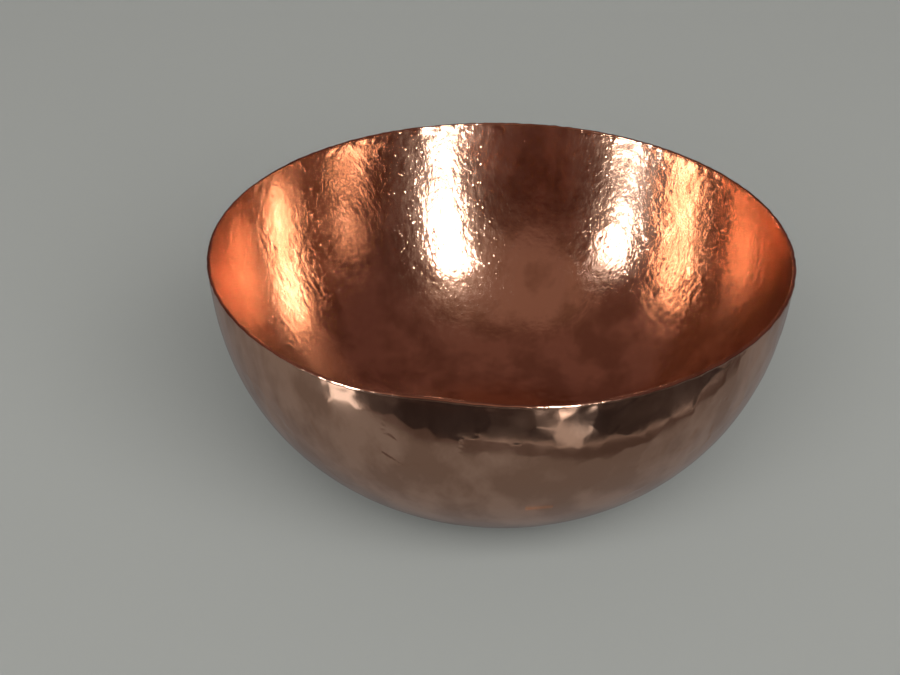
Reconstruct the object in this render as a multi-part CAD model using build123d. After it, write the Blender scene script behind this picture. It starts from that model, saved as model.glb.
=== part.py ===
from build123d import *
import math
import os

# A hand-raised copper bowl: one disc of copper sheet, hammered up into a deep
# round bowl that stands on a small planished flat. It is a single piece of
# metal with nothing fitted to it, so the model has one node.
#
# Frame: millimetres, +Z up, origin at the middle of the flat underside.
# The bowl is round about +Z, and stands on the plane Z = 0.

# Driving dimensions
WIDEST_DIAMETER = 200.0  # over the outside, just below the rim
HEIGHT = 87.0  # from the flat underside to the top of the rim
WIDEST_BELOW_TOP = 4.0  # the wall draws in slightly above this line
FLAT_DIAMETER = 50.0  # the flat that the bowl stands on
BELLY_RADIUS = 68.0  # outside curve between the flat and the wall
SHEET = 1.2  # thickness of the wall and the base
RIM_BEAD = 1.3  # diameter of the rounded edge, hammered a little thicker than the sheet

# Outside of the wall: one arc, upright at the widest line and running
# smoothly into the belly arc, which lies level where it meets the flat.
WIDEST_RADIUS = WIDEST_DIAMETER / 2
FLAT_RADIUS = FLAT_DIAMETER / 2
WIDEST_Z = HEIGHT - WIDEST_BELOW_TOP
ACROSS = WIDEST_RADIUS - FLAT_RADIUS
UP = WIDEST_Z - BELLY_RADIUS
WALL_RADIUS = (ACROSS**2 + UP**2 - BELLY_RADIUS**2) / (2 * (ACROSS - BELLY_RADIUS))

BELLY_CENTRE = (FLAT_RADIUS, BELLY_RADIUS)
WALL_CENTRE = (WIDEST_RADIUS - WALL_RADIUS, WIDEST_Z)

# The two arcs meet on the line through both centres.
JOIN_ANGLE = math.atan2(
    BELLY_CENTRE[1] - WALL_CENTRE[1],
    BELLY_CENTRE[0] - WALL_CENTRE[0],
)

# The wall ends half a bead below the top, at the middle of the bead.
EDGE_ANGLE = math.asin((HEIGHT - RIM_BEAD / 2 - WIDEST_Z) / (WALL_RADIUS - SHEET / 2))


def on_arc(centre, radius, angle):
    """The point of an arc at an angle from the horizontal, as (r, z)."""
    return (
        centre[0] + radius * math.cos(angle),
        centre[1] + radius * math.sin(angle),
    )


def wall_face():
    """Half section of the sheet: flat base, belly and wall."""
    base_angle = -math.pi / 2
    belly_middle = (JOIN_ANGLE + base_angle) / 2
    wall_middle = (EDGE_ANGLE + JOIN_ANGLE) / 2
    inner_wall = WALL_RADIUS - SHEET
    inner_belly = BELLY_RADIUS - SHEET
    with BuildSketch(Plane.XZ) as section:
        with BuildLine():
            Line((0, 0), (FLAT_RADIUS, 0))
            ThreePointArc(
                (FLAT_RADIUS, 0),
                on_arc(BELLY_CENTRE, BELLY_RADIUS, belly_middle),
                on_arc(BELLY_CENTRE, BELLY_RADIUS, JOIN_ANGLE),
            )
            ThreePointArc(
                on_arc(WALL_CENTRE, WALL_RADIUS, JOIN_ANGLE),
                on_arc(WALL_CENTRE, WALL_RADIUS, wall_middle),
                on_arc(WALL_CENTRE, WALL_RADIUS, EDGE_ANGLE),
            )
            Line(
                on_arc(WALL_CENTRE, WALL_RADIUS, EDGE_ANGLE),
                on_arc(WALL_CENTRE, inner_wall, EDGE_ANGLE),
            )
            ThreePointArc(
                on_arc(WALL_CENTRE, inner_wall, EDGE_ANGLE),
                on_arc(WALL_CENTRE, inner_wall, wall_middle),
                on_arc(WALL_CENTRE, inner_wall, JOIN_ANGLE),
            )
            ThreePointArc(
                on_arc(BELLY_CENTRE, inner_belly, JOIN_ANGLE),
                on_arc(BELLY_CENTRE, inner_belly, belly_middle),
                (FLAT_RADIUS, SHEET),
            )
            Line((FLAT_RADIUS, SHEET), (0, SHEET))
            Line((0, SHEET), (0, 0))
        make_face()
    return section.sketch


def rim_face():
    """Half section of the thickened edge: a round bead on the wall's end."""
    middle = on_arc(WALL_CENTRE, WALL_RADIUS - SHEET / 2, EDGE_ANGLE)
    with BuildSketch(Plane.XZ) as section:
        with Locations(middle):
            Circle(RIM_BEAD / 2)
    return section.sketch


def bowl_shell():
    """The whole bowl, turned about +Z from its half section."""
    return revolve(wall_face() + rim_face(), Axis.Z, 360)


def main():
    os.makedirs("parts", exist_ok=True)
    export_step(bowl_shell(), "parts/bowl_shell.step")


main()
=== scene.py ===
"""A hammered copper bowl on a plain pale floor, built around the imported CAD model.

Lengths are in metres. The bowl stands on Z = 0 and is round about +Z; the camera looks along +Y.
Azimuths are in degrees: 0 is +Y, behind the bowl, 90 is +X, and 180 is towards the camera.
"""

import math
from collections import namedtuple

import bpy
import numpy as np
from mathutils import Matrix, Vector
from mathutils.kdtree import KDTree


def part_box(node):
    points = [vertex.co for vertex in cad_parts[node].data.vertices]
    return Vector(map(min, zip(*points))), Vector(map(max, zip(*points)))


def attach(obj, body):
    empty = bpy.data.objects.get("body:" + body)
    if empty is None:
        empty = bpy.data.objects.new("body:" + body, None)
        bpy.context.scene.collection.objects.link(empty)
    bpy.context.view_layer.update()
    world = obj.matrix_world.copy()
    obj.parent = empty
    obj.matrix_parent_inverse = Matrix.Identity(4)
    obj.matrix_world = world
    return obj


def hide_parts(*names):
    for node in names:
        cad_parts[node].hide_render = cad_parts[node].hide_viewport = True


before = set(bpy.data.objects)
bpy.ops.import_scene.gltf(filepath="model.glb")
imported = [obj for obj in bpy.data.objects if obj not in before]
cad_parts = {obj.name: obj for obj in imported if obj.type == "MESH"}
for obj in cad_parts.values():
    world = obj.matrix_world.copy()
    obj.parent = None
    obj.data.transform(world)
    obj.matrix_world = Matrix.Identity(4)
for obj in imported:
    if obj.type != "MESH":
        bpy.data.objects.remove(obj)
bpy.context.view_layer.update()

MM = 0.001

# ---------------------------------------------------------------- the bowl's shape
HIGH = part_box("bowl_shell")[1]
WIDEST_RADIUS = min(HIGH.x, HIGH.y)
HEIGHT = HIGH.z
WIDEST_BELOW_TOP = 4.0 * MM
FLAT_RADIUS = 25.0 * MM
BELLY_RADIUS = 68.0 * MM
SHEET = 1.2 * MM
RIM_BEAD = 1.3 * MM

# The wall is one arc, upright at the widest line; the belly arc joins it to the flat.
WIDEST_Z = HEIGHT - WIDEST_BELOW_TOP
ACROSS = WIDEST_RADIUS - FLAT_RADIUS
UP = WIDEST_Z - BELLY_RADIUS
WALL_RADIUS = (ACROSS**2 + UP**2 - BELLY_RADIUS**2) / (2 * (ACROSS - BELLY_RADIUS))
BELLY_CENTRE = (FLAT_RADIUS, BELLY_RADIUS)
WALL_CENTRE = (WIDEST_RADIUS - WALL_RADIUS, WIDEST_Z)
JOIN_ANGLE = math.atan2(BELLY_CENTRE[1] - WALL_CENTRE[1], BELLY_CENTRE[0] - WALL_CENTRE[0])
EDGE_ANGLE = math.asin((HEIGHT - RIM_BEAD / 2 - WIDEST_Z) / (WALL_RADIUS - SHEET / 2))
BELLY_LENGTH = BELLY_RADIUS * (JOIN_ANGLE + math.pi / 2)
WALL_LENGTH = WALL_RADIUS * (EDGE_ANGLE - JOIN_ANGLE)
PROFILE_LENGTH = FLAT_RADIUS + BELLY_LENGTH + WALL_LENGTH

# The rim's bead is half a round, and this much more at each end, which reaches into the sheet.
BEAD_MORE = math.radians(35)

# ---------------------------------------------------------------- mesh resolution
COARSER = 1
CAP_LENGTH = 72.0 * MM
CAP_RINGS = 144 // COARSER
SEGMENTS = 8 * CAP_RINGS
INSIDE_RINGS = 156 // COARSER
OUTSIDE_RINGS = 140 // COARSER
BEAD_RINGS = 12 // COARSER

INSIDE, BEAD, OUTSIDE = 0, 1, 2


def outside_profile(length):
    """Radius, height and outward normal (r, z) of the outside, at a length from its centre."""
    if length <= FLAT_RADIUS:
        return length, 0.0, 0.0, -1.0
    if length <= FLAT_RADIUS + BELLY_LENGTH:
        centre, radius = BELLY_CENTRE, BELLY_RADIUS
        angle = -math.pi / 2 + (length - FLAT_RADIUS) / BELLY_RADIUS
    else:
        centre, radius = WALL_CENTRE, WALL_RADIUS
        angle = JOIN_ANGLE + (length - FLAT_RADIUS - BELLY_LENGTH) / WALL_RADIUS
    normal_r, normal_z = math.cos(angle), math.sin(angle)
    return centre[0] + radius * normal_r, centre[1] + radius * normal_z, normal_r, normal_z


def surface_at(length, side):
    """A point of the inside or the outside, as radius, height and normal (r, z)."""
    r, z, normal_r, normal_z = outside_profile(length)
    if side == OUTSIDE:
        return r, z, normal_r, normal_z
    return r - SHEET * normal_r, z - SHEET * normal_z, -normal_r, -normal_z


class Rings:
    """Rings of points round +Z. All the points of a ring have one side and one length."""

    def __init__(self):
        self.points, self.normals, self.side, self.length = [], [], [], []
        self.count = 0

    def add(self, segments, r, z, normal_r, normal_z, side, length):
        """Adds one ring and returns its vertex numbers in order of angle."""
        turn = 2 * math.pi * np.arange(segments) / segments
        c, s = np.cos(turn), np.sin(turn)
        self.points.append(np.stack([r * c, r * s, np.full(segments, z)], 1))
        self.normals.append(np.stack([normal_r * c, normal_r * s, np.full(segments, normal_z)], 1))
        self.side.append(np.full(segments, side))
        self.length.append(np.full(segments, length))
        self.count += segments
        return np.arange(self.count - segments, self.count)


def grid_point(i, j):
    """Number of point (i, j) of a square grid, when its square k is a ring of 8k points."""
    k = np.maximum(abs(i), abs(j))
    along = np.where(
        abs(i) == k,
        np.where(i > 0, j, 4 * k - j),
        np.where(j > 0, 2 * k - i, 6 * k + i),
    )
    along = along % np.maximum(8 * k, 1)
    return np.where(k > 0, 1 + 4 * k * (k - 1) + along, 0)


def cap(rings, side):
    """The round middle of one side: ring k has 8k points, so that the faces stay even in size."""
    start = rings.count
    for k in range(CAP_RINGS + 1):
        length = CAP_LENGTH * k / CAP_RINGS
        last = rings.add(max(1, 8 * k), *surface_at(length, side), side, length)
    span = np.arange(-CAP_RINGS, CAP_RINGS)
    i, j = (a.ravel() for a in np.meshgrid(span, span, indexing="ij"))
    corners = [
        grid_point(i, j),
        grid_point(i + 1, j),
        grid_point(i + 1, j + 1),
        grid_point(i, j + 1),
    ]
    if side == OUTSIDE:
        corners.reverse()
    return last, start + np.stack(corners, 1)


def band(lower, upper):
    """Faces between two rings with the same number of points."""
    return np.stack([lower, upper, np.roll(upper, -1), np.roll(lower, -1)], 1)


def bead_sections():
    """Radius, height and normal (r, z) round the rim's bead, from the inside to the outside."""
    middle = WALL_RADIUS - SHEET / 2
    centre_r = WALL_CENTRE[0] + middle * math.cos(EDGE_ANGLE)
    centre_z = WALL_CENTRE[1] + middle * math.sin(EDGE_ANGLE)
    first = math.pi + EDGE_ANGLE + BEAD_MORE
    last = EDGE_ANGLE - BEAD_MORE
    for turn in np.linspace(first, last, BEAD_RINGS + 1):
        normal_r, normal_z = math.cos(turn), math.sin(turn)
        r = centre_r + RIM_BEAD / 2 * normal_r
        z = centre_z + RIM_BEAD / 2 * normal_z
        yield r, z, normal_r, normal_z


def wall_sections():
    """Section, side and length of each ring between the caps, up the inside, down the outside."""
    for length in np.linspace(CAP_LENGTH, PROFILE_LENGTH, INSIDE_RINGS + 1)[1:]:
        yield surface_at(length, INSIDE), INSIDE, length
    for section in bead_sections():
        yield section, BEAD, PROFILE_LENGTH
    for length in np.linspace(PROFILE_LENGTH, CAP_LENGTH, OUTSIDE_RINGS + 1)[:-1]:
        yield surface_at(length, OUTSIDE), OUTSIDE, length


def bowl_rings():
    """Every point of the bowl before hammering, and its faces: inside, bead, outside."""
    rings = Rings()
    ring, quads = cap(rings, INSIDE)
    faces = [quads]
    for section, side, length in wall_sections():
        new = rings.add(SEGMENTS, *section, side, length)
        faces.append(band(ring, new))
        ring = new
    last, quads = cap(rings, OUTSIDE)
    faces += [band(ring, last), quads]
    joined = (np.concatenate(a) for a in (rings.points, rings.normals, rings.side, rings.length))
    return *joined, np.concatenate(faces)


# ---------------------------------------------------------------- hammering
# The blows of one hammer: how far apart they are round the bowl, how much longer than wide a mark
# is on the wall, how uneven the places are as a share of the pitch, the radius of a mark's cup, its
# depth, its tilt, and the height over which the ridges between marks are rounded.
Blows = namedtuple("Blows", "pitch stretch jitter cup depth tilt soften")
INSIDE_BLOWS = Blows(1.8 * MM, 1.25, 0.3, 36.0 * MM, 0.03 * MM, 0.009, 0.008 * MM)
OUTSIDE_BLOWS = Blows(5.6 * MM, 1.15, 0.2, 120.0 * MM, 0.07 * MM, 0.018, 0.001 * MM)
HAMMER_SEED = 41

# Shares: how far apart rounds of blows are, by the marks' length, how much cups vary and the
# smallest of them, and the shallowest depth.
ROUNDS_APART = 0.9
CUP_SPREAD = 0.25
SMALLEST_CUP = 0.5
SHALLOWEST = 0.3
MARKS_AT_A_POINT = 6

# The inside also has shallow waves: their length, their height, and how many are added up.
WAVE_LENGTH = 11 * MM
WAVE_HEIGHT = 0.035 * MM
WAVE_COUNT = 24

# The outside is planished smoother up to a share of the profile, and left rough near the rim.
PLANISHED = 0.68
HAMMERED_OVER = 0.17
PLANISHED_SHARE = 0.32


def sheet_space(points, length, stretch):
    """Points where distances along the wall, from the middle to the rim, count for less.

    Round things in this space are long on the wall, upright, and stay round on the flat.
    """
    return np.stack([points[:, 0], points[:, 1], length / stretch], 1)


def marks(side, blows, rng):
    """Centres of hammer blows, laid in rounds about the middle, as a smith works."""
    centres, lengths = [], []
    apart = blows.pitch * blows.stretch
    for length in np.arange(0.5 * blows.pitch, PROFILE_LENGTH, apart * ROUNDS_APART):
        r = surface_at(length, side)[0]
        count = max(3, round(2 * math.pi * r / blows.pitch))
        turn = 2 * math.pi * (np.arange(count) + rng.random()) / count
        turn += rng.normal(0, blows.jitter * blows.pitch, count) / max(r, blows.pitch)
        slide = length + rng.normal(0, blows.jitter * apart, count)
        for t, s in zip(turn, slide.clip(0, PROFILE_LENGTH)):
            r, z, _, _ = surface_at(s, side)
            centres.append((r * math.cos(t), r * math.sin(t), z))
            lengths.append(s)
    return sheet_space(np.array(centres), np.array(lengths), blows.stretch)


def struck(points, centres, blows, rng):
    """How far each point is pushed in: the deepest of the hammer marks that cover it.

    A mark is a shallow cup with its own radius, depth and tilt. Two marks meet in a soft ridge.
    """
    tree = KDTree(len(centres))
    for n, centre in enumerate(centres):
        tree.insert(centre, n)
    tree.balance()
    cups = rng.normal(blows.cup, CUP_SPREAD * blows.cup, len(centres))
    curve = 1 / (2 * cups.clip(SMALLEST_CUP * blows.cup))
    sink = blows.depth * rng.uniform(SHALLOWEST, 1.0, len(centres))
    slope = rng.normal(0, blows.tilt, (len(centres), 3))
    found = np.array([[hit[1] for hit in tree.find_n(p, MARKS_AT_A_POINT)] for p in points])
    away = points[:, None, :] - centres[found]
    height = (away**2).sum(2) * curve[found] - sink[found] + (away * slope[found]).sum(2)
    deepest = -blows.soften * np.log(np.exp(-height / blows.soften).sum(1))
    return deepest - deepest.max()


def waves(points, size, count, rng):
    """Smooth random waves between -1 and 1, with features of about the given size."""
    total = np.zeros(len(points))
    for _ in range(count):
        direction = rng.normal(size=3)
        direction *= 2 * math.pi / (size * rng.uniform(0.7, 1.5)) / np.linalg.norm(direction)
        total += np.cos(points @ direction + rng.uniform(0, 2 * math.pi))
    return (total / math.sqrt(2 * count)).clip(-1, 1)


def hammer(points, normals, side, length):
    """Moves the smooth bowl's points as hammering does, always into the smooth shape."""
    rng = np.random.default_rng(HAMMER_SEED)
    push = np.zeros(len(points))
    inside, outside = side == INSIDE, side == OUTSIDE
    where = sheet_space(points[inside], length[inside], INSIDE_BLOWS.stretch)
    centres = marks(INSIDE, INSIDE_BLOWS, rng)
    push[inside] = struck(where, centres, INSIDE_BLOWS, rng)
    push[inside] -= WAVE_HEIGHT * (1 + waves(where, WAVE_LENGTH, WAVE_COUNT, rng))
    where = sheet_space(points[outside], length[outside], OUTSIDE_BLOWS.stretch)
    centres = marks(OUTSIDE, OUTSIDE_BLOWS, rng)
    push[outside] = struck(where, centres, OUTSIDE_BLOWS, rng)
    rough = ((length[outside] / PROFILE_LENGTH - PLANISHED) / HAMMERED_OVER).clip(0, 1)
    push[outside] *= PLANISHED_SHARE + (1 - PLANISHED_SHARE) * rough
    return points + normals * push[:, None]


# ---------------------------------------------------------------- out of true
# Bends of the rim: azimuth and spread in degrees, shift outwards, shift upwards.
BENDS = [
    (-149, 13, 0.0 * MM, -0.8 * MM),
    (-171, 11, -1.3 * MM, 0.5 * MM),
    (158, 14, 0.0 * MM, -0.5 * MM),
    (-5, 20, 0.0 * MM, -0.3 * MM),
]
RIM_SINK = 0.5 * MM

# The wall stands in on one side, below the rim: it starts fast and fades out down the wall.
LEAN_AZIMUTH = 5.0
LEAN = 4.0 * MM
LEAN_START = 18.0 * MM
LEAN_REACH = 120.0 * MM
LEAN_PEAK = 0.70

# Dents along the rim: how far down they fade out, how deep they are, and how long.
DENT_SEED = 7
DENT_FADE = 3.0 * MM
DENT_DEPTH = 0.10 * MM
DENT_COUNT = 20
DENTS_DOWN = 3.5 * MM
DENTS_INWARD = 5 * MM


def lean(azimuth, length):
    """How far the wall stands in: about LEAN at most, and none at the rim or on the far side."""
    below = PROFILE_LENGTH - length
    fade = (1 + np.cos(math.pi * np.clip(below / LEAN_REACH, 0, 1))) / 2
    slim = (1 - np.exp(-below / LEAN_START)) * fade / LEAN_PEAK
    return LEAN * slim * (0.5 + 0.5 * np.cos(np.radians(azimuth - LEAN_AZIMUTH))) ** 2


def bend(points, length):
    """Puts the bowl a little out of round, as work by hand leaves it, inside the true shape."""
    x, y, z = points.T
    azimuth = np.degrees(np.arctan2(x, y))
    high = (z / HEIGHT).clip(0, 1)
    out = -lean(azimuth, length)
    up = -RIM_SINK * high**2
    for place, spread, shift_out, shift_up in BENDS:
        apart = (azimuth - place + 180) % 360 - 180
        share = np.exp(-((apart / spread) ** 2)) * high**3
        out += shift_out * share
        up += shift_up * share
    grow = 1 + out / np.hypot(x, y).clip(1 * MM)
    return np.stack([x * grow, y * grow, z + up], 1)


def dent_edge(points, length):
    """Small uneven dents along the rim, fading out down the wall."""
    rng = np.random.default_rng(DENT_SEED)
    depth = DENT_DEPTH * np.exp(-((PROFILE_LENGTH - length) / DENT_FADE) ** 2)
    down = depth * (1 + waves(points, DENTS_DOWN, DENT_COUNT, rng))
    inward = depth * (1 + waves(points, DENTS_INWARD, DENT_COUNT, rng))
    x, y, z = points.T
    shrink = 1 - inward / np.hypot(x, y).clip(1 * MM)
    return np.stack([x * shrink, y * shrink, z - down], 1)


# ---------------------------------------------------------------- the bowl's mesh
GRAIN_STRETCH = 1.8

# The map for baking: half of an oval's width and height, and the share of it kept for the bead.
BAKE_MAP = "OFBake"
OVAL_WIDE, OVAL_TALL = 0.245, 0.49
MAP_EDGE = 0.015


def make_mesh(name, points, faces):
    """A smooth mesh of quads."""
    mesh = bpy.data.meshes.new(name)
    mesh.vertices.add(len(points))
    mesh.vertices.foreach_set("co", points.astype(np.float32).ravel())
    mesh.loops.add(faces.size)
    mesh.loops.foreach_set("vertex_index", faces.astype(np.int32).ravel())
    mesh.polygons.add(len(faces))
    mesh.polygons.foreach_set("loop_start", np.arange(0, faces.size, 4, dtype=np.int32))
    mesh.update(calc_edges=True)
    mesh.shade_smooth()
    return mesh


def lay_out(mesh, points, side, length, faces):
    """Lays the inside with the bead, and the outside, in two ovals side by side for baking."""
    turn = np.arctan2(points[:, 1], points[:, 0])
    reach = length / PROFILE_LENGTH * (1 - MAP_EDGE)
    bead = np.flatnonzero(side == BEAD)
    reach[bead] = 1 - MAP_EDGE * (1 - np.arange(len(bead)) / len(bead))
    facing = np.where((side[faces] == OUTSIDE).any(1), -1, 1)[:, None]
    u = 0.5 - 0.25 * facing + OVAL_WIDE * facing * reach[faces] * np.cos(turn[faces])
    v = 0.5 + OVAL_TALL * reach[faces] * np.sin(turn[faces])
    corners = np.stack([u, v], 2).astype(np.float32)
    mesh.uv_layers.new(name=BAKE_MAP).data.foreach_set("uv", corners.ravel())


def build_bowl():
    """The hammered bowl. Its material reads the grain's space, and 1 on the inside and the bead."""
    points, normals, side, length, faces = bowl_rings()
    grain = sheet_space(points, length, GRAIN_STRETCH)
    points = hammer(points, normals, side, length)
    points = dent_edge(bend(points, length), length)
    mesh = make_mesh("copper_bowl", points, faces)
    lay_out(mesh, points, side, length, faces)
    mesh.attributes.new("grain", "FLOAT_VECTOR", "POINT").data.foreach_set("vector", grain.ravel())
    within = (side != OUTSIDE).astype(np.float32)
    mesh.attributes.new("within", "FLOAT", "POINT").data.foreach_set("value", within)
    bowl = bpy.data.objects.new("copper_bowl", mesh)
    bpy.context.scene.collection.objects.link(bowl)
    return bowl


# ---------------------------------------------------------------- materials
class Material:
    """A new material with one principled shader, and short calls for the nodes used here."""

    def __init__(self, name):
        self.data = bpy.data.materials.new(name)
        self.data.use_nodes = True
        self.nodes = self.data.node_tree.nodes
        self.inputs = self.nodes["Principled BSDF"].inputs

    def link(self, value, socket):
        """Feeds a value into a socket."""
        self.data.node_tree.links.new(value, socket)

    def attribute(self, name, output):
        """One of the mesh's own attributes."""
        node = self.nodes.new("ShaderNodeAttribute")
        node.attribute_name = name
        return node.outputs[output]

    def noise(self, where, scale, detail, roughness=0.55):
        """Smooth noise between 0 and 1."""
        node = self.nodes.new("ShaderNodeTexNoise")
        node.inputs["Scale"].default_value = scale
        node.inputs["Detail"].default_value = detail
        node.inputs["Roughness"].default_value = roughness
        self.link(where, node.inputs["Vector"])
        return node.outputs["Fac"]

    def ramp(self, value, *stops):
        """A colour between two stops, each of them a position and a colour."""
        node = self.nodes.new("ShaderNodeValToRGB")
        for point, (position, colour) in zip(node.color_ramp.elements, stops):
            point.position = position
            point.color = (*colour, 1)
        self.link(value, node.inputs["Fac"])
        return node.outputs["Color"]

    def ranged(self, value, low, high, start=0.0, end=1.0):
        """Goes smoothly from low to high while the value goes from start to end."""
        node = self.nodes.new("ShaderNodeMapRange")
        node.interpolation_type = "SMOOTHSTEP"
        node.inputs["From Min"].default_value = start
        node.inputs["From Max"].default_value = end
        node.inputs["To Min"].default_value = low
        node.inputs["To Max"].default_value = high
        self.link(value, node.inputs["Value"])
        return node.outputs["Result"]

    def product(self, one, other):
        """One value times another."""
        node = self.nodes.new("ShaderNodeMath")
        node.operation = "MULTIPLY"
        self.link(one, node.inputs[0])
        self.link(other, node.inputs[1])
        return node.outputs["Value"]

    def bump(self, height, distance, strength, under=None):
        """A normal that follows a height, on top of another bump where one is given."""
        node = self.nodes.new("ShaderNodeBump")
        node.inputs["Distance"].default_value = distance
        self.link(strength, node.inputs["Strength"])
        self.link(height, node.inputs["Height"])
        if under:
            self.link(under, node.inputs["Normal"])
        return node.outputs["Normal"]


DARK_COPPER = (0.48, 0.283, 0.192)
BRIGHT_COPPER = (0.68, 0.427, 0.303)
MOTTLE_SCALE = 60
ROUGH_OUTSIDE, ROUGH_INSIDE = 0.12, 0.175
ROUGH_SCALE = 400
STROKE_HEIGHT = 0.06 * MM
STROKES_OUTSIDE, STROKES_INSIDE = 0.12, 1.0
STROKE_SCALE = 1000
PIT_DEPTH = 0.045 * MM
PIT_SCALE = 950


def brushed(material):
    """Metal with an anisotropic gloss, a quarter turn from the rounds of the bowl."""
    material.inputs["Metallic"].default_value = 1.0
    material.inputs["Anisotropic"].default_value = 0.5
    material.inputs["Anisotropic Rotation"].default_value = 0.25
    tangent = material.nodes.new("ShaderNodeTangent")
    tangent.direction_type = "RADIAL"
    tangent.axis = "Z"
    material.link(tangent.outputs["Tangent"], material.inputs["Tangent"])


def copper_tone(material, grain):
    """Mottled, between a darker and a brighter copper."""
    mottle = material.noise(grain, MOTTLE_SCALE, 8)
    tone = material.ramp(mottle, (0.42, DARK_COPPER), (0.58, BRIGHT_COPPER))
    material.link(tone, material.inputs["Base Color"])


def copper_gloss(material, grain, within):
    """Uneven satin, glossier on the outside."""
    uneven = material.ranged(material.noise(grain, ROUGH_SCALE, 4), 0.75, 1.25)
    rough = material.ranged(within, ROUGH_OUTSIDE, ROUGH_INSIDE)
    material.link(material.product(uneven, rough), material.inputs["Roughness"])


def copper_relief(material, grain, within):
    """Fine strokes up the wall, faint on the outside, and small pits, none on the outside."""
    strength = material.ranged(within, STROKES_OUTSIDE, STROKES_INSIDE)
    strokes = material.bump(material.noise(grain, STROKE_SCALE, 3), STROKE_HEIGHT, strength)
    cells = material.nodes.new("ShaderNodeTexVoronoi")
    cells.inputs["Scale"].default_value = PIT_SCALE
    material.link(grain, cells.inputs["Vector"])
    chosen = material.nodes.new("ShaderNodeSeparateColor")
    material.link(cells.outputs["Color"], chosen.inputs["Color"])
    cups = material.ranged(cells.outputs["Distance"], -1.0, 0.0, 0.0, 0.42)
    share = material.ranged(chosen.outputs["Red"], 0.0, 1.0, 0.45, 0.95)
    pits = material.bump(material.product(cups, share), PIT_DEPTH, within, strokes)
    material.link(pits, material.inputs["Normal"])


def copper():
    """Satin copper: mottled colour, uneven gloss, fine upright strokes and small pits."""
    material = Material("hammered_copper")
    grain = material.attribute("grain", "Vector")
    within = material.attribute("within", "Fac")
    brushed(material)
    copper_tone(material, grain)
    copper_gloss(material, grain, within)
    copper_relief(material, grain, within)
    return material


def plain(name, colour, roughness, specular):
    """One colour and one gloss."""
    material = Material(name)
    material.inputs["Base Color"].default_value = (*colour, 1)
    material.inputs["Roughness"].default_value = roughness
    material.inputs["Specular IOR Level"].default_value = specular
    return material


def glowing(name, colour, radiance):
    """Black, with a glow of its own: painted light on a card, no lamp."""
    material = plain(name, (0, 0, 0), 1.0, 0.0)
    material.inputs["Emission Color"].default_value = (*colour, 1)
    material.inputs["Emission Strength"].default_value = radiance
    return material


def dark_gloss():
    """Dark and glossy, with uneven patches."""
    dark, paler = (0.036, 0.032, 0.034), (0.100, 0.090, 0.088)
    material = plain("desk_gloss", dark, 0.20, 0.15)
    place = material.nodes.new("ShaderNodeTexCoord").outputs["Object"]
    patches = material.noise(place, 9.0, 2.0, 0.5)
    tones = material.ramp(patches, (0.40, dark), (0.62, paler))
    material.link(tones, material.inputs["Base Color"])
    return material


bowl = build_bowl()
bowl.data.materials.append(copper().data)
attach(bowl, "root")
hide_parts("bowl_shell")

# ---------------------------------------------------------------- stage
# The floor reaches this far on every side. LIFT keeps the flat cards on it apart in height.
FLOOR = 6.0
LIFT = 0.0002

# The metal mirrors a table's edge in front of the bowl, and dark ground beyond it. The edge runs
# along X up to a corner, and slopes towards +Y from there. A painted highlight follows it: a thin
# glowing line, no lamp.
TABLE_EDGE = -0.150
EDGE_DEPTH = 0.020
EDGE_CORNER = 0.010
EDGE_SLOPE = 0.62
EDGE_HIGHLIGHT_WIDTH = 0.0025
EDGE_HIGHLIGHT_ENDS = (-0.03, 0.40)

WHITE = (1.0, 1.0, 1.0)


def rectangle(x, y, wide, deep, turn=0.0):
    """Corners of a rectangle about (x, y), turned by an angle in degrees."""
    c, s = math.cos(math.radians(turn)), math.sin(math.radians(turn))
    a, b = wide / 2, deep / 2
    halves = [(-a, -b), (a, -b), (a, b), (-a, b)]
    return [(x + c * u - s * v, y + s * u + c * v) for u, v in halves]


def beyond(offset):
    """Corners of the ground in front of the bowl, from an offset beyond the table's edge."""
    near = TABLE_EDGE - offset
    far_right = near + EDGE_SLOPE * (FLOOR - EDGE_CORNER)
    return [
        (-FLOOR, near),
        (-FLOOR, -FLOOR),
        (FLOOR, -FLOOR),
        (FLOOR, far_right),
        (EDGE_CORNER, near),
    ]


def edge_highlight_outline():
    """Outline of the painted highlight: a thin bright line along the far side of the table's edge,
    round its corner.
    """
    near = TABLE_EDGE - EDGE_DEPTH
    left, right = EDGE_HIGHLIGHT_ENDS
    return [
        (left, near),
        (left, near - EDGE_HIGHLIGHT_WIDTH),
        (EDGE_CORNER, near - EDGE_HIGHLIGHT_WIDTH),
        (right, near + EDGE_SLOPE * (right - EDGE_CORNER)),
        (EDGE_CORNER, near),
    ]


def flat_piece(name, corners, height, material):
    """A level card of the stage, with its corners given as (x, y)."""
    mesh = bpy.data.meshes.new(name)
    mesh.from_pydata([(x, y, height) for x, y in corners], [], [tuple(range(len(corners)))])
    mesh.materials.append(material.data)
    piece = bpy.data.objects.new(name, mesh)
    bpy.context.scene.collection.objects.link(piece)
    return piece


def mirrored_piece(name, corners, height, material):
    """A card that shows in the bowl's reflections, casts no shadow and is not seen itself."""
    piece = flat_piece(name, corners, height, material)
    piece.visible_camera = False
    piece.visible_diffuse = False
    piece.visible_shadow = False
    piece.visible_transmission = False
    piece.visible_volume_scatter = False


def glare(name, corners, colour, radiance):
    """A painted patch of window light, a glowing card lying on the table or the ground, for the metal
    to mirror.
    """
    mirrored_piece(name, corners, 4 * LIFT, glowing(name, colour, radiance))


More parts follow.
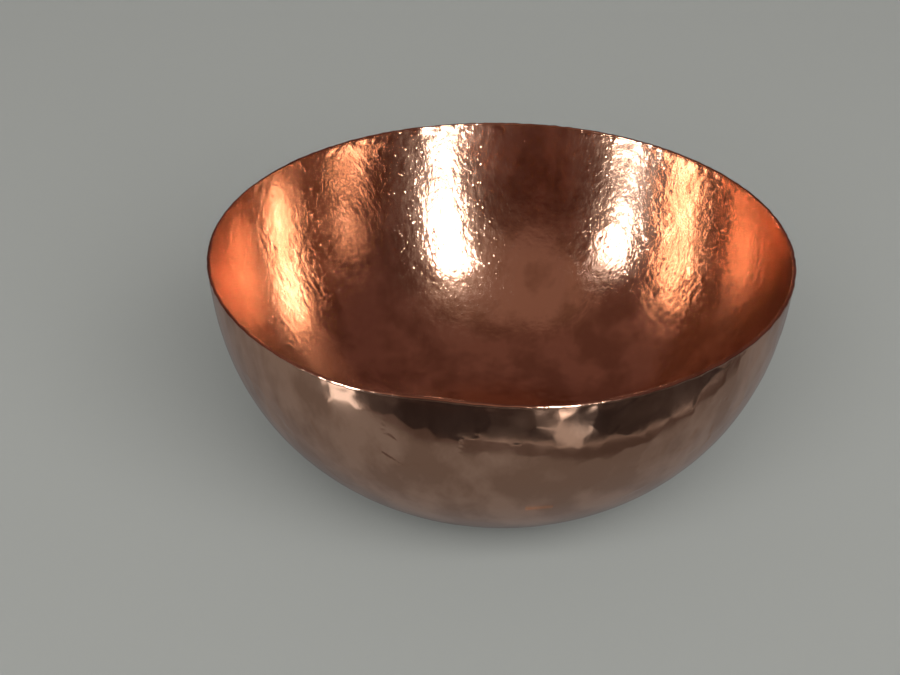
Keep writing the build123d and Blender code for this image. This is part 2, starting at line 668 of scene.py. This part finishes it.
def add_stage():
    """The pale floor, and the cards on it that only the metal mirrors, with painted shade and painted
    light among them.
    """
    square = rectangle(0, 0, 2 * FLOOR, 2 * FLOOR)
    flat_piece("floor", square, -LIFT, plain("floor_paint", (0.460, 0.466, 0.438), 0.7, 0.1))
    # Painted shade: the floor as the metal mirrors it is a darker copy of the floor that the eye sees.
    shade = plain("shaded_mirrored_floor", (0.312, 0.302, 0.296), 0.7, 0.1)
    mirrored_piece("shaded_mirrored_floor", square, -LIFT / 2, shade)
    edge = plain("table_edge", (0.13, 0.10, 0.09), 0.5, 0.2)
    mirrored_piece("table_edge", beyond(0.0), LIFT, edge)
    mirrored_piece("dark_ground", beyond(EDGE_DEPTH), 2 * LIFT, dark_gloss())
    # Painted highlight: a glowing line, no lamp, for the lit rounding of the table's edge.
    shine = glowing("painted_edge_highlight", (1.0, 0.95, 0.9), 1.0)
    mirrored_piece("painted_edge_highlight", edge_highlight_outline(), 3 * LIFT, shine)
    glare("glare_left", rectangle(-0.158, -0.152, 0.066, 0.042, 30), WHITE, 1.5)
    glare("glare_front", rectangle(0.058, -0.170, 0.030, 0.050, -25), WHITE, 0.7)
    glare("glare_foot", rectangle(0.019, -0.082, 0.012, 0.0022, 12), (1.0, 0.60, 0.38), 0.36)


add_stage()

# ---------------------------------------------------------------- lights
LIGHT_DISTANCE = 6.0


def direction(azimuth, elevation):
    """Unit vector towards an azimuth and an elevation."""
    a, e = math.radians(azimuth), math.radians(elevation)
    return Vector((math.sin(a) * math.cos(e), math.cos(a) * math.cos(e), math.sin(e)))


def panel(name, azimuth, elevation, wide, tall, radiance):
    """A soft panel of light that fills an angle of wide by tall degrees as seen from the bowl."""
    light = bpy.data.lights.new(name, "AREA")
    light.shape = "RECTANGLE"
    light.size = 2 * LIGHT_DISTANCE * math.tan(math.radians(wide / 2))
    light.size_y = 2 * LIGHT_DISTANCE * math.tan(math.radians(tall / 2))
    light.energy = math.pi * light.size * light.size_y * radiance
    lamp = bpy.data.objects.new(name, light)
    towards = direction(azimuth, elevation)
    lamp.location = towards * LIGHT_DISTANCE + Vector((0, 0, HEIGHT / 2))
    lamp.rotation_euler = towards.to_track_quat("Z", "Y").to_euler()
    lamp.visible_camera = False
    bpy.context.scene.collection.objects.link(lamp)
    return lamp


def mirrored_panel(*placing):
    """A panel that shows in metal and gloss, and leaves the floor's light alone."""
    lamp = panel(*placing)
    lamp.visible_diffuse = False
    return lamp


def add_lights():
    """The windows and the warm ceiling for the metal, and a very wide soft light for the floor."""
    mirrored_panel("window_right", 155.5, 20.5, 5.5, 31, 60.0)
    mirrored_panel("window_left", -125, 10.5, 7, 17, 50.0)
    mirrored_panel("window_left_top", -127, 24, 7, 10, 2.5)
    ceiling = mirrored_panel("ceiling_glow", -172, 48, 70, 54, 0.080)
    ceiling.data.shape = "ELLIPSE"
    ceiling.data.color = (1.0, 0.72, 0.55)
    floor_light = panel("floor_light", 172, 36, 80, 50, 3.3)
    floor_light.visible_glossy = False


add_lights()

# ---------------------------------------------------------------- room
ROOM_SEEN = (0.32, 0.33, 0.31, 1)
ROOM_FILL = (0.11, 0.11, 0.11, 1)
ROOM_DARKER = (0.112, 0.050, 0.043, 1)
ROOM_BRIGHTER = (0.165, 0.080, 0.064, 1)
BRIGHTER_TOWARDS = (-0.25, -0.35, 0.90)


def room_background(nodes, colour):
    """The room in one even colour."""
    node = nodes.new("ShaderNodeBackground")
    node.inputs["Color"].default_value = colour
    return node.outputs["Background"]


def warm_room(nodes, links):
    """The room that the metal mirrors: dim and warm, and brighter towards one direction."""
    place = nodes.new("ShaderNodeTexCoord")
    towards = nodes.new("ShaderNodeVectorMath")
    towards.operation = "DOT_PRODUCT"
    towards.inputs[1].default_value = BRIGHTER_TOWARDS
    ramp = nodes.new("ShaderNodeValToRGB")
    darker, brighter = ramp.color_ramp.elements
    darker.position = 0.35
    darker.color = ROOM_DARKER
    brighter.position = 0.85
    brighter.color = ROOM_BRIGHTER
    links.new(place.outputs["Generated"], towards.inputs[0])
    links.new(towards.outputs["Value"], ramp.inputs["Fac"])
    links.new(ramp.outputs["Color"], nodes["Background"].inputs["Color"])
    return nodes["Background"].outputs["Background"]


def choose(nodes, links, when, otherwise, chosen):
    """One shader when a kind of ray arrives, and another one otherwise."""
    node = nodes.new("ShaderNodeMixShader")
    links.new(when, node.inputs["Fac"])
    links.new(otherwise, node.inputs[1])
    links.new(chosen, node.inputs[2])
    return node.outputs["Shader"]


def add_room():
    """A plain pale room for the eye, an even fill for the floor, and a dim warm room for the metal."""
    world = bpy.data.worlds.new("room")
    bpy.context.scene.world = world
    world.use_nodes = True
    nodes, links = world.node_tree.nodes, world.node_tree.links
    ray = nodes.new("ShaderNodeLightPath").outputs
    fill = room_background(nodes, ROOM_FILL)
    pale = room_background(nodes, ROOM_SEEN)
    unseen = choose(nodes, links, ray["Is Glossy Ray"], fill, warm_room(nodes, links))
    room = choose(nodes, links, ray["Is Camera Ray"], unseen, pale)
    links.new(room, nodes["World Output"].inputs["Surface"])


add_room()

# ---------------------------------------------------------------- camera and finish
CAMERA_DISTANCE = 0.5
CAMERA_ELEVATION = math.radians(28.4)
CAMERA_AIM = Vector((-0.0172, 0, 0.0465))
CAMERA_LENS = 58.1
SENSOR_WIDTH = 36.0


def add_camera():
    """Looks down on the bowl from the front, at a distance from the middle of its rim."""
    camera_data = bpy.data.cameras.new("camera")
    camera_data.sensor_width = SENSOR_WIDTH
    camera_data.lens = CAMERA_LENS
    camera_data.clip_start = 0.01
    camera = bpy.data.objects.new("camera", camera_data)
    back = CAMERA_DISTANCE * math.cos(CAMERA_ELEVATION)
    up = CAMERA_DISTANCE * math.sin(CAMERA_ELEVATION)
    camera.location = (0, -back, HEIGHT + up)
    camera.rotation_euler = (CAMERA_AIM - camera.location).to_track_quat("-Z", "Y").to_euler()
    bpy.context.scene.collection.objects.link(camera)
    bpy.context.scene.camera = camera


add_camera()
scene = bpy.context.scene
scene.view_settings.view_transform = "Standard"
scene.cycles.max_bounces = 16
scene.cycles.glossy_bounces = 12
scene.cycles.caustics_reflective = False
scene.cycles.use_denoising = True
